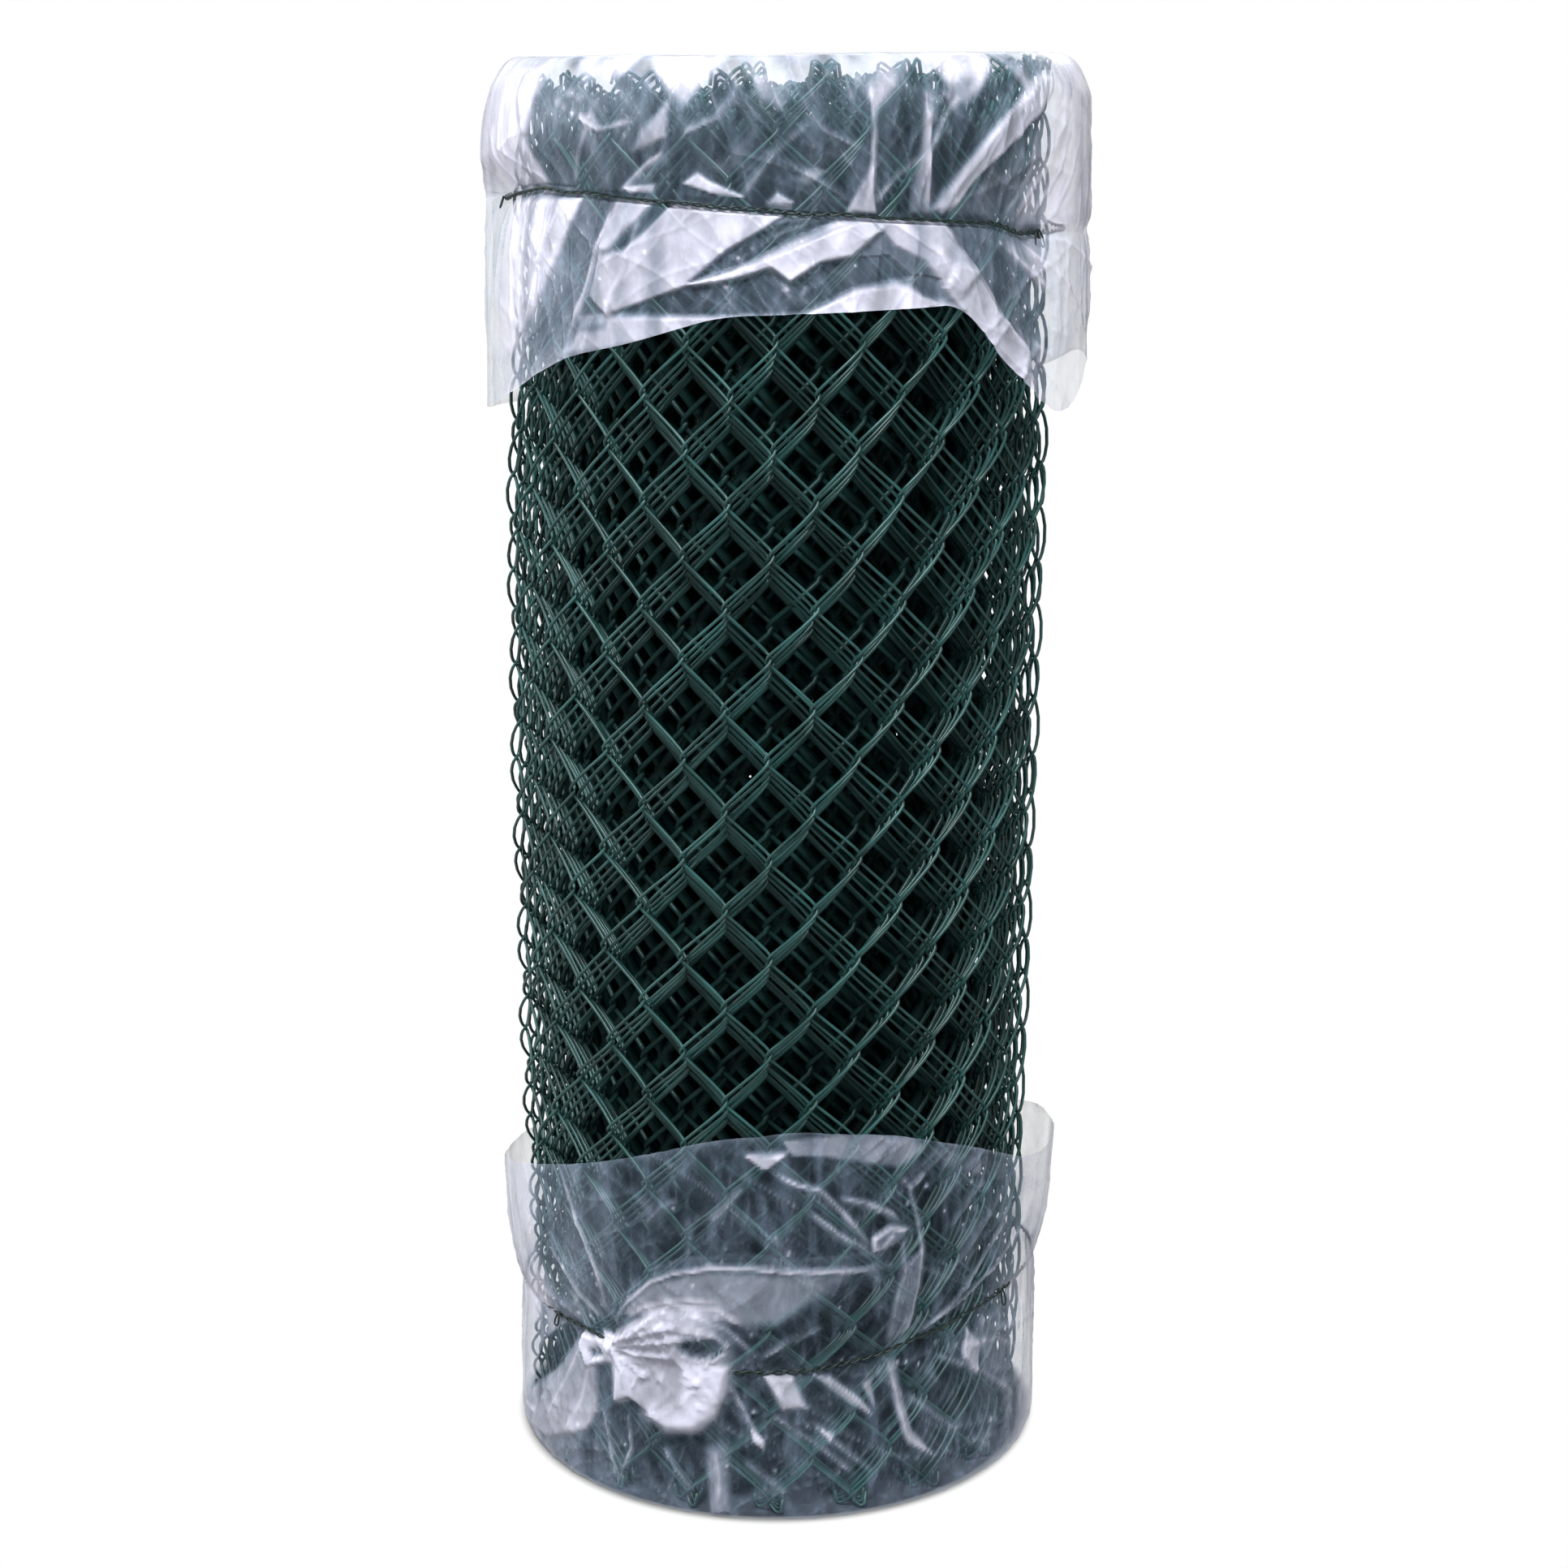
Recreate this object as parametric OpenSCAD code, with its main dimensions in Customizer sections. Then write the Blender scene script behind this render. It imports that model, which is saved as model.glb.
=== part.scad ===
// Roll of green plastic-coated chain link fencing, standing on end.
// A clear film bag covers each end, and a wire tied round the roll holds each bag.
// Millimetres, +Z up, origin on the floor at the centre of the roll's foot, front towards -Y.

/* [Fence mesh roll] */
// Height of the fence fabric, which is the length of the roll
fabric_height = 1220; // [900:10:1500]
// Diameter over the wires at the widest part of the roll
belly_diameter = 476; // [460:2:490]
// Height of the widest part above the roll's bottom end
belly_height = 790; // [500:10:850]
// How much less the roll's radius is at the top end than at its widest part
top_taper = 11; // [0:1:20]
// How much less the roll's radius is at the bottom end than at its widest part
bottom_taper = 9; // [0:1:20]
// Diameter of the open core that the fabric is wound round
core_diameter = 120; // [80:2:140]
// Number of turns of fabric between the core and the outside
turn_count = 16; // [8:1:18]
// Thickness of one turn of fabric
fabric_thickness = 7; // [5:0.5:8]
// Depth to which the gap between two turns is open at the roll's ends
turn_gap_depth = 20; // [5:1:60]

/* [Film bags] */
// Thickness of the film as it lies in folds
film = 1; // [0.8:0.1:2]
// Clearance between the film and the roll where the tie pulls it in
film_gap = 0.3; // [0.2:0.1:0.8]
// Radius of the round groove that a tie pulls into the film
groove_r = 22; // [18:1:30]

/* [Top bag] */
// How far the film stands off the roll between the top end and its tie
top_puff_slack = 23; // [10:1:40]
// Depth of the round shoulder below the top end
top_shoulder = 46; // [20:2:60]
// How far the loose skirt below the tie stands off the widest part of the roll
top_skirt_slack = 16; // [6:1:40]
// Distance from the top end down to the tie
top_tie_depth = 115; // [110:1:160]
// Distance from the top end down to the hem at the front
top_hem_front = 192; // [190:2:280]
// Distance from the top end down to the hem at the sides and back
top_hem_side = 296; // [285:2:400]
// Distance from the middle to the left end of the hem's high stretch
top_hem_left = 100; // [60:2:170]
// Distance from the middle to the right end of the hem's high stretch
top_hem_right = 143; // [60:1:170]

/* [Bottom bag] */
// How far the film stands off the roll between the foot and its tie
bottom_puff_slack = 9; // [6:1:30]
// Height of the round corner above the foot
bottom_shoulder = 22; // [10:2:40]
// How far the loose skirt above the tie stands off the widest part of the roll
bottom_skirt_slack = 14; // [6:1:40]
// Height of the tie above the bottom end
bottom_tie_height = 139; // [110:1:180]
// Height of the hem above the bottom end at the front
bottom_hem_front = 358; // [340:2:440]
// Height of the hem above the bottom end at the sides and back
bottom_hem_side = 256; // [230:2:335]

/* [Ties] */
// Diameter of the tie wire
tie_wire = 3; // [2:0.1:4]
// Clearance between a tie and the film
tie_gap = 0.3; // [0.2:0.1:0.6]
// Angle at which the top tie lies lower on the right
top_tie_angle = 4; // [0:0.5:4.5]
// Angle at which the bottom tie lies higher on the right
bottom_tie_angle = 3; // [0:0.5:4.5]
// Place of the wire's cut ends round the roll, from the front towards the right
tail_angle = 60; // [0:1:90]
// Length of the cut ends from the ring's centre line
tail_length = 16; // [10:1:20]
// Angle at which the cut ends lean out from the roll as they hang down
tail_lean = 35; // [25:1:60]
// Distance between the centres of the two cut ends
tail_spread = 4; // [3.5:0.5:8]

/* [Hidden] */
$fn = 96;
wire_green = [0.06, 0.17, 0.13];
film_clear = [0.86, 0.86, 0.92, 0.45];
tie_green = [0.05, 0.12, 0.10];
core_r = core_diameter / 2;
belly_r = belly_diameter / 2;
top_r = belly_r - top_taper;
bottom_r = belly_r - bottom_taper;
roll_bottom = film;
roll_top = roll_bottom + fabric_height;
outline_steps = 8;
bag_steps = 8;
cut_overrun = 10;
hem_share = 0.94;
tail_wire = 0.8 * tie_wire;

// Eases a share of a stretch from 0 to 1 with a level start and end
function ease(share) = (1 - cos(180 * share)) / 2;

// Radius of the roll at a height above its bottom end
function roll_r(height) =
    height < belly_height
        ? bottom_r + (belly_r - bottom_r) * ease(height / belly_height)
        : belly_r + (top_r - belly_r) * ease((height - belly_height) / (fabric_height - belly_height));

// Outline of the roll from its bottom end to its top end, as radius and height
function roll_outline() = concat(
    [for (i = [0 : outline_steps - 1]) let (h = belly_height * i / outline_steps) [roll_r(h), h]],
    [for (i = [0 : outline_steps])
        let (h = belly_height + (fabric_height - belly_height) * i / outline_steps) [roll_r(h), h]]
);

// One side of a bag's film, as radius and distance from the roll's end: a round shoulder, then straight to the hem.
// The inner side has skin 0, and the outer side has the film's thickness.
function bag_side(end_r, puff_r, shoulder, skirt_r, hem_at, skin) = concat(
    [[0, -skin]],
    [for (i = [0 : bag_steps]) let (a = 90 * i / bag_steps)
        [end_r + (puff_r + skin - end_r) * sin(a), shoulder - (shoulder + skin) * cos(a)]],
    [[skirt_r + skin, hem_at], [0, hem_at]]
);

// Radius of the middle of the groove at a tie. A sloped groove is widened, so that it clears the roll all round.
function groove_mid_r(waist_r, slope) = (waist_r + film + groove_r) / cos(slope);

// Radius of a circle that rises by a height over half a span
function arch_r(half_span, rise) = (half_span * half_span + rise * rise) / (2 * rise);

// One groove that winds out from the core to the outside, between the turns at one end.
// Each half turn is a half circle, and the lower halves are centred half a pitch to the side.
module turn_gap(end_r) {
    pitch = (end_r - core_r) / turn_count;
    gap = pitch - fabric_thickness;
    for (turn = [1 : turn_count - 1]) {
        half_turn_gap(core_r + turn * pitch, gap);
        if (turn < turn_count - 1)
            translate([pitch / 2, 0, 0])
                rotate([0, 0, 180])
                    half_turn_gap(core_r + (turn + 0.5) * pitch, gap);
    }
}

module half_turn_gap(radius, gap) {
    rotate_extrude(angle = 180)
        translate([radius - gap / 2, 0])
            square([gap, turn_gap_depth + cut_overrun]);
}

// The rolled fabric: one turned solid with its core, and its turns showing on its ends
module fence_roll() {
    color(wire_green)
        translate([0, 0, roll_bottom])
            difference() {
                rotate_extrude()
                    polygon(concat([[core_r, 0]], roll_outline(), [[core_r, fabric_height]]));
                translate([0, 0, fabric_height - turn_gap_depth])
                    turn_gap(top_r);
                translate([0, 0, -cut_overrun])
                    turn_gap(bottom_r);
            }
}

// One side of a bag's film as a solid, drawn in by the groove at its tie
module bag_form(end_r, puff_r, shoulder, waist_r, tie_at, slope, skirt_r, hem_at, skin) {
    difference() {
        rotate_extrude()
            polygon(bag_side(end_r, puff_r, shoulder, skirt_r, hem_at, skin));
        translate([0, 0, tie_at])
            rotate([0, slope, 0])
                rotate_extrude()
                    translate([groove_mid_r(waist_r, slope), 0])
                        circle(groove_r + film - skin);
    }
}

// A bag of film over one end of the roll: the end is at Z 0, and the skirt runs towards +Z
module film_bag(end_r, puff_r, shoulder, waist_r, tie_at, slope, skirt_r, hem_at) {
    difference() {
        bag_form(end_r, puff_r, shoulder, waist_r, tie_at, slope, skirt_r, hem_at, film);
        bag_form(end_r, puff_r, shoulder, waist_r, tie_at, slope, skirt_r, hem_at + cut_overrun, 0);
    }
}

top_waist_r = roll_r(fabric_height - top_tie_depth - belly_r * tan(top_tie_angle)) + film_gap;
top_puff_r = top_r + film_gap + top_puff_slack;
top_skirt_r = belly_r + top_skirt_slack;

// What is cut from the front of the top bag, below its hem
module top_hem_cut() {
    foot = hem_share * (top_skirt_r + film);
    low = roll_top - top_hem_side;
    high = roll_top - top_hem_front;
    rotate([90, 0, 0])
        linear_extrude(top_skirt_r + film + cut_overrun)
            polygon([[-foot, low - cut_overrun], [-foot, low], [-top_hem_left, high],
                     [top_hem_right, high], [foot, low], [foot, low - cut_overrun]]);
}

module top_bag() {
    color(film_clear)
        difference() {
            translate([0, 0, roll_top])
                mirror([0, 0, 1])
                    film_bag(top_r + film_gap, top_puff_r, top_shoulder, top_waist_r,
                             top_tie_depth, -top_tie_angle, top_skirt_r, top_hem_side);
            top_hem_cut();
        }
}

bottom_waist_r = roll_r(bottom_tie_height + belly_r * tan(bottom_tie_angle)) + film_gap;
bottom_puff_r = bottom_r + film_gap + bottom_puff_slack;
bottom_skirt_r = belly_r + bottom_skirt_slack;

// The round arch along Y that the bottom bag's hem follows at the front
module bottom_hem_arch() {
    outer_r = bottom_skirt_r + film;
    radius = arch_r(hem_share * outer_r, bottom_hem_front - bottom_hem_side);
    translate([0, 0, roll_bottom + bottom_hem_front - radius])
        rotate([90, 0, 0])
            cylinder(r = radius, h = outer_r + cut_overrun);
}

module bottom_bag() {
    reach = bottom_skirt_r + film + cut_overrun;
    color(film_clear)
        difference() {
            translate([0, 0, roll_bottom])
                film_bag(bottom_r + film_gap, bottom_puff_r, bottom_shoulder, bottom_waist_r,
                         bottom_tie_height, -bottom_tie_angle, bottom_skirt_r, bottom_hem_front);
            difference() {
                translate([-reach, -reach, roll_bottom + bottom_hem_side])
                    cube([2 * reach, 2 * reach, bottom_hem_front - bottom_hem_side + cut_overrun]);
                bottom_hem_arch();
            }
        }
}

// A wire ring in the groove of a bag, with its two cut ends side by side
module tie(waist_r, slope) {
    ring_r = groove_mid_r(waist_r, slope) - groove_r + tie_gap + tie_wire / 2;
    rotate([0, slope, 0]) {
        rotate_extrude()
            translate([ring_r, 0])
                circle(d = tie_wire, $fn = 32);
        rotate([0, 0, tail_angle - 90])
            translate([ring_r, 0, 0])
                rotate([0, -tail_lean, 0])
                    tie_tails();
    }
}

module tie_tails() {
    for (side = [-1, 1])
        translate([0, side * tail_spread / 2, -tail_length])
            cylinder(d = tail_wire, h = tail_length, $fn = 32);
}

module top_tie() {
    color(tie_green)
        translate([0, 0, roll_top - top_tie_depth])
            tie(top_waist_r, top_tie_angle);
}

module bottom_tie() {
    color(tie_green)
        translate([0, 0, roll_bottom + bottom_tie_height])
            tie(bottom_waist_r, -bottom_tie_angle);
}

fence_roll();
top_bag();
bottom_bag();
top_tie();
bottom_tie();
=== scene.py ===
"""Detailed looks of the roll of chain link fencing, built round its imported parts."""

import math

import bpy
import numpy as np
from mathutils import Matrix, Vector


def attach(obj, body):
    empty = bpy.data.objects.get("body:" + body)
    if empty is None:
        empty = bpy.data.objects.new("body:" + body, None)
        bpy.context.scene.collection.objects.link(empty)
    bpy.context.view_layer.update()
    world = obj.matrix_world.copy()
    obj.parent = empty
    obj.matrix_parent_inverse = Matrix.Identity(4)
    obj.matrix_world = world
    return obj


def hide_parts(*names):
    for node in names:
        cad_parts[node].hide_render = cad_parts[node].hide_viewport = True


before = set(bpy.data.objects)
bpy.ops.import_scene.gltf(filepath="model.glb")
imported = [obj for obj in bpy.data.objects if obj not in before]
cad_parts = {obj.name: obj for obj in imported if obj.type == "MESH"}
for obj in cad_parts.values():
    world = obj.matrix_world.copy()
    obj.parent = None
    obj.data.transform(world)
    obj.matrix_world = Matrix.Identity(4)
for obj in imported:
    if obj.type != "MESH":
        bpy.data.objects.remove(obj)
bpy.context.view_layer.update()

# Sizes of the roll in metres, as in the part's source
FABRIC_H = 1.220
FOOT = 0.001
BELLY_R = 0.238
BELLY_Z = 0.790
TOP_R = 0.227
BOTTOM_R = 0.229
CORE_R = 0.060
TURNS = 16

# The fabric: its wire, its zigzag's reach off its middle, and its half diamonds from edge to edge
WIRE_R = 0.00145
DEPTH = 0.0042
HALF_ROWS = 29
# Distance from an edge of the fabric to the last crossing of its wires
TIP = 0.007
# A bend: its reach past the crossing, how much of that is rounded off, and its sharpness
BEND_REACH = 0.0030
BEND_ROUND = 0.0013
BEND_SHARP = 0.965
BULGE = 1.12
BULGE_POWER = 0.55
# Hooked ends past the last crossing: along the winding, up, and off the middle as a share of DEPTH
HOOKED_END = ((0.0022, 0.0036, 0.8), (0.0050, 0.0054, 1.3), (0.0080, 0.0036, 1.4), (0.0096, -0.0070, 1.1))

# The winding: tight outer turns, looser inner ones, and nested turns that have as many wires each
FIRST_R = BELLY_R - DEPTH - WIRE_R
TIGHT_TURNS = 5
TIGHT_PITCH = 0.0070
LOOSE_PITCH = (
    (FIRST_R - CORE_R - DEPTH - WIRE_R - TIGHT_TURNS * TIGHT_PITCH) / (TURNS - TIGHT_TURNS))
NESTED_TURNS = 5
WIRES_A_TURN = 40.02
STEP = 2 * math.pi * FIRST_R / WIRES_A_TURN
START_ANGLE = math.radians(160.8)
# How far a turn sits below the one round it, for how many turns, and how much less at the top
TURN_DROP = 0.0068
DROP_TURNS = 4.0
DROP_START = 0.55
DROP_LESS = 0.30
# Slant of the rows at the left, at the right low down, and what it gains higher up and at the top
SLANT_LEFT = 0.0067
SLANT_RIGHT = 0.0012
SLANT_GAIN = 0.0055
SLANT_END = 0.002
# How far the rows lie low at the top end and in the lower half
LOW_AT_TOP = 0.0045
LOW_BELOW = 0.004
# How far the wires wander: along the winding as a share of their spacing, and off it or up
WANDER_ALONG = 0.05
WANDER = 0.0009
# The inner turns lie unevenly: how far round, and how far up
UNEVEN_ROUND = 0.10
UNEVEN_UP = 0.0016
# How much farther apart the wires lie at the front than at the back, by height
SPREAD_AT = (0, 0.40, 0.50, 0.70, 0.93, 1.05, 1.22)
SPREAD = (0.056, 0.055, 0.050, 0.018, 0.008, 0.020, 0.050)
# Depth of the top end that keeps its full colour, and the shade painted into the inner turns' colour below
# it: the light share they start from, lose a turn and keep at least
LIGHT_END = 0.012
SHADE_START = 1.30
SHADE_A_TURN = 0.15
SHADE_LEAST = 0.24
# Sideways lean of the upper part, where it starts, its height, and how far the film lies to the right
LEAN = 0.007
LEAN_FROM = 0.5
LEAN_OVER = 0.72
FILM_RIGHT = 0.002
# Seeded random draws
draws = np.random.default_rng


def ease(q):
    """Eases a share from 0 to 1 with a level start and end."""
    q = np.clip(q, 0.0, 1.0)
    return (1 - np.cos(np.pi * q)) / 2


def roll_r(h):
    """Radius over the wires at a height above the fabric's bottom edge."""
    low = BOTTOM_R + (BELLY_R - BOTTOM_R) * ease(h / BELLY_Z)
    high = BELLY_R + (TOP_R - BELLY_R) * ease((h - BELLY_Z) / (FABRIC_H - BELLY_Z))
    return np.where(h < BELLY_Z, low, high)


def sunk(turn):
    """How far a turn lies inside the outer one: the outer turns are tight, and the inner ones looser."""
    tight = TIGHT_PITCH * np.minimum(turn, TIGHT_TURNS)
    return tight + LOOSE_PITCH * np.maximum(turn - TIGHT_TURNS, 0)


def lean(h):
    """Sideways shift of the turns, which lean a little to the right at the top."""
    return LEAN * ease((h - LEAN_FROM) / LEAN_OVER)


def film_shift(h):
    """Sideways shift of the film and its ties, which lean with the turns."""
    return lean(h) + FILM_RIGHT


def waves(count, low, high, seed):
    """A smooth wandering function of up to three variables, made of a few slanting waves."""
    r = draws(seed)
    k = r.uniform(low, high, (count, 3)) * r.choice([-1, 1], (count, 3))
    c = r.uniform(0, 2 * np.pi, count)

    def value(x, y, z=0.0):
        total = 0
        for (kx, ky, kz), phase in zip(k, c):
            total += np.sin(kx * x + ky * y + kz * z + phase)
        return total / math.sqrt(count)

    return value


def new_mesh(name, verts, faces, material, attributes=None):
    """An object from an array of points and an array of quads, shaded smooth."""
    me = bpy.data.meshes.new(name)
    side = faces.shape[1]
    me.vertices.add(len(verts))
    me.vertices.foreach_set("co", verts.astype(np.float32).ravel())
    me.loops.add(faces.size)
    me.loops.foreach_set("vertex_index", faces.astype(np.int32).ravel())
    me.polygons.add(len(faces))
    me.polygons.foreach_set("loop_start", np.arange(0, faces.size, side, dtype=np.int32))
    me.polygons.foreach_set("use_smooth", np.ones(len(faces), dtype=bool))
    for key, values in (attributes or {}).items():
        at = me.attributes.new(key, "FLOAT", "POINT")
        at.data.foreach_set("value", values.astype(np.float32).ravel())
    me.update(calc_edges=True)
    me.validate()
    ob = bpy.data.objects.new(name, me)
    bpy.context.scene.collection.objects.link(ob)
    me.materials.append(material)
    return ob


def tubes(paths, out, radius, sides):
    """Round wires along paths, an array of wires by points by 3. out is a direction off each path,
    and radius is one number or one for each point."""
    t = np.empty_like(paths)
    t[:, 1:-1] = paths[:, 2:] - paths[:, :-2]
    t[:, 0] = paths[:, 1] - paths[:, 0]
    t[:, -1] = paths[:, -1] - paths[:, -2]
    t /= np.linalg.norm(t, axis=2, keepdims=True)
    b = np.cross(t, out)
    b /= np.linalg.norm(b, axis=2, keepdims=True)
    n = np.cross(b, t)
    wires, rings = paths.shape[:2]
    rad = np.broadcast_to(np.asarray(radius, float), (wires, rings))[:, :, None, None]
    ang = np.arange(sides) * 2 * np.pi / sides
    ring = paths[:, :, None, :] + rad * (
        np.cos(ang)[:, None] * n[:, :, None, :]
        + np.sin(ang)[:, None] * b[:, :, None, :]
    )
    index = np.arange(wires * rings * sides).reshape(wires, rings, sides)
    nxt = np.roll(index, -1, axis=2)
    corners = [index[:, :-1], nxt[:, :-1], nxt[:, 1:], index[:, 1:]]
    quads = np.stack(corners, axis=-1).reshape(-1, 4)
    # Each cut end is closed by quads across it
    caps = []
    for row, flip in ((0, True), (rings - 1, False)):
        e = index[:, row]
        for i in range(1, sides - 2, 2):
            q = np.stack([e[:, 0], e[:, i], e[:, i + 1], e[:, i + 2]], axis=-1)
            caps.append(q[:, ::-1] if flip else q)
    return ring.reshape(-1, 3), np.concatenate([quads] + caps)


# The chain link fabric: zigzag wires that hook into their neighbours, wound into a spiral.
# The outer turns nest in each other, so they have as many wires each. The inner turns lie as they fall.
bounds_at = [0.0]
while bounds_at[-1] < TURNS * 2 * math.pi:
    here = bounds_at[-1]
    nested = here < NESTED_TURNS * 2 * math.pi
    reach = FIRST_R if nested else FIRST_R - float(sunk(here / (2 * math.pi)))
    bounds_at.append(here + STEP / reach)
bounds_at = np.array(bounds_at)
WIRES = len(bounds_at) - 1
wander_r = waves(9, 0.5, 3.0, 5)
wander_s = waves(9, 0.6, 4.0, 6)
wander_z = waves(9, 0.6, 4.0, 7)


def fabric_point(k, v, n):
    """Place of a point of the fabric, its outward direction and its painted shade: k counts wires along the
    winding, v is up, n is off its middle.
    """
    s = k * STEP
    k = k + WANDER_ALONG * wander_s(s * 9, v * 7)
    turned = np.interp(k, np.arange(WIRES + 1), bounds_at)
    turn = turned / (2 * np.pi)
    deep = ease((turn - NESTED_TURNS + 1) / 2)
    grow = (roll_r(v) - CORE_R) / (BELLY_R - CORE_R)
    r = CORE_R + (FIRST_R - sunk(turn) - CORE_R) * grow + n
    r += WANDER * wander_r(turned * 1.3, v * 9)
    a = START_ANGLE + turned
    # The wires lie a little farther apart at the front than at the back, most of all near the two ends
    spread = np.interp(v, SPREAD_AT, SPREAD)
    a = a + spread * np.sin(a) + deep * UNEVEN_ROUND * np.sin(turned * 0.83 + 1.0)
    # Each turn sits a little lower than the one round it, except at the foot, where all stand on the floor
    fall = TURN_DROP * (np.minimum(turn, DROP_TURNS) - DROP_START)
    fall *= 1 - DROP_LESS * ease((v - 1.10) / 0.12)
    fall += deep * UNEVEN_UP * np.sin(turned * 0.61)
    # The rows climb a little to the right, and they lie a little low at the top and in the lower half
    end = ease((v - 1.0) / 0.2)
    slant = np.where(np.sin(a) > 0, SLANT_RIGHT + SLANT_GAIN * ease((v - 0.6) / 0.3), SLANT_LEFT)
    climb = (slant + SLANT_END * end) * np.sin(a) - LOW_AT_TOP * end
    climb -= LOW_BELOW * (1 - ease((v - 0.45) / 0.3))
    z = FOOT + v + (climb - fall) * ease(v / 0.28)
    z += WANDER * wander_z(s * 8, v * 6) * ease(v / 0.05)
    out = np.stack([np.sin(a), -np.cos(a), np.zeros_like(a)], axis=-1)
    place = np.stack([r * np.sin(a) + lean(v), -r * np.cos(a), z], axis=-1)
    # Painted shade: less light reaches the turns inside, so their colour and gloss are darkened, except at
    # the top end
    light = np.clip(SHADE_START - SHADE_A_TURN * turn, SHADE_LEAST, 1.0)
    painted_shade = 1 - ease((FABRIC_H - LIGHT_END - v) / 0.05) * (1 - light)
    return place, out, painted_shade


def zigzag(first, last, shares):
    """Paths of some wires from the bottom edge to the top edge, with a knuckled hook at each end."""
    k = np.arange(first, last)[:, None]
    rise = (FABRIC_H - 2 * TIP) / HALF_ROWS
    half = 0.5 + BEND_REACH / STEP
    round_off = BEND_ROUND / STEP
    s, v, n = [], [], []
    for j in range(HALF_ROWS):
        here = np.where((j + k) % 2 == 0, -1.0, 1.0)
        for q in shares:
            off = DEPTH * BULGE * math.sin(math.pi * q) ** BULGE_POWER
            # Straight in the middle and round at the bends
            way = math.asin(BEND_SHARP * math.cos(math.pi * q))
            s.append(here * (half - round_off) * way / math.asin(BEND_SHARP))
            v.append(np.full(k.shape, TIP + (j + q) * rise))
            n.append(-here * off)
    end = np.where((HALF_ROWS + k) % 2 == 0, -1.0, 1.0)
    s.append(end * (half - round_off))
    v.append(np.full(k.shape, FABRIC_H - TIP))
    n.append(0.0 * end)
    start = np.where(k % 2 == 0, -1.0, 1.0)
    # Hooked ends: past the crossing, over, and back on the other side
    for ds, dv, dn in HOOKED_END:
        s.append(end * (half + ds / STEP))
        v.append(np.full(k.shape, FABRIC_H - TIP + dv))
        n.append(-end * DEPTH * dn)
        s.insert(0, start * (half + ds / STEP))
        v.insert(0, np.full(k.shape, TIP - dv))
        n.insert(0, start * DEPTH * dn)
    s = np.concatenate(s, axis=1) + k + 0.5
    v = np.concatenate(v, axis=1)
    n = np.concatenate(n, axis=1)
    return (*fabric_point(s, v, n), v)


# Looks
class Nodes:
    """A node tree, with a short way to add nodes and join them."""

    def __init__(self, owner):
        owner.use_nodes = True
        self.tree = owner.node_tree

    def feed(self, node, *entries, **named):
        """Sets a node's inputs, in order or by name with _ for a space, to values or other outputs."""
        pairs = list(zip(node.inputs, entries))
        pairs += [(node.inputs[key.replace("_", " ")], value) for key, value in named.items()]
        for entry, value in pairs:
            if isinstance(value, bpy.types.NodeSocket):
                self.tree.links.new(value, entry)
            else:
                entry.default_value = value

    def add(self, kind, output, *entries, operation=None, **named):
        """Adds a node, sets its inputs and gives one of its outputs."""
        node = self.tree.nodes.new("ShaderNode" + kind)
        if operation:
            node.operation = operation
        self.feed(node, *entries, **named)
        return node.outputs[output]

    def stored(self, attribute):
        """The value stored at each point of the mesh."""
        value = self.add("Attribute", "Fac")
        value.node.attribute_name = attribute
        return value

    def ramp(self, value, *stops):
        """A colour between two stops, each a position and a colour."""
        colour = self.add("ValToRGB", "Color", value)
        for element, (position, shown) in zip(colour.node.color_ramp.elements, stops):
            element.position = position
            element.color = (*shown, 1)
        return colour


def material(name):
    """A new material, its nodes and its shader."""
    mat = bpy.data.materials.new(name)
    nodes = Nodes(mat)
    return mat, nodes, nodes.tree.nodes["Principled BSDF"]


COAT_ROUGH = 0.36
COAT_GLOSS = 0.55


def coated(name, dark, light, shaded=False):
    """Plastic coat on wire: a green that varies a little along the wire, with a dusty bloom. When shaded,
    painted shade from the stored shade value darkens its colour and gloss.
    """
    mat, nodes, bsdf = material(name)
    co = nodes.add("TexCoord", "Object")
    noise = nodes.add("TexNoise", "Fac", Vector=co, Scale=26, Detail=5)
    colour = nodes.ramp(noise, (0.35, dark), (0.72, light))
    if shaded:
        # Painted shade: the colour and the gloss are scaled down by the stored shade value
        painted_shade_share = nodes.stored("painted_shade")
        colour = nodes.add("VectorMath", "Vector", colour, operation="SCALE", Scale=painted_shade_share)
        gloss = nodes.add("Math", "Value", painted_shade_share, COAT_GLOSS, operation="MULTIPLY")
        nodes.feed(bsdf, Specular_IOR_Level=gloss)
    fine = nodes.add("TexNoise", "Fac", Vector=co, Scale=900, Detail=2)
    rough = nodes.add("MapRange", "Result", fine, To_Min=COAT_ROUGH - 0.08, To_Max=COAT_ROUGH + 0.10)
    bump = nodes.add("Bump", "Normal", Strength=0.12, Distance=0.0004, Height=fine)
    nodes.feed(bsdf, Base_Color=colour, Roughness=rough, Normal=bump)
    return mat


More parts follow.
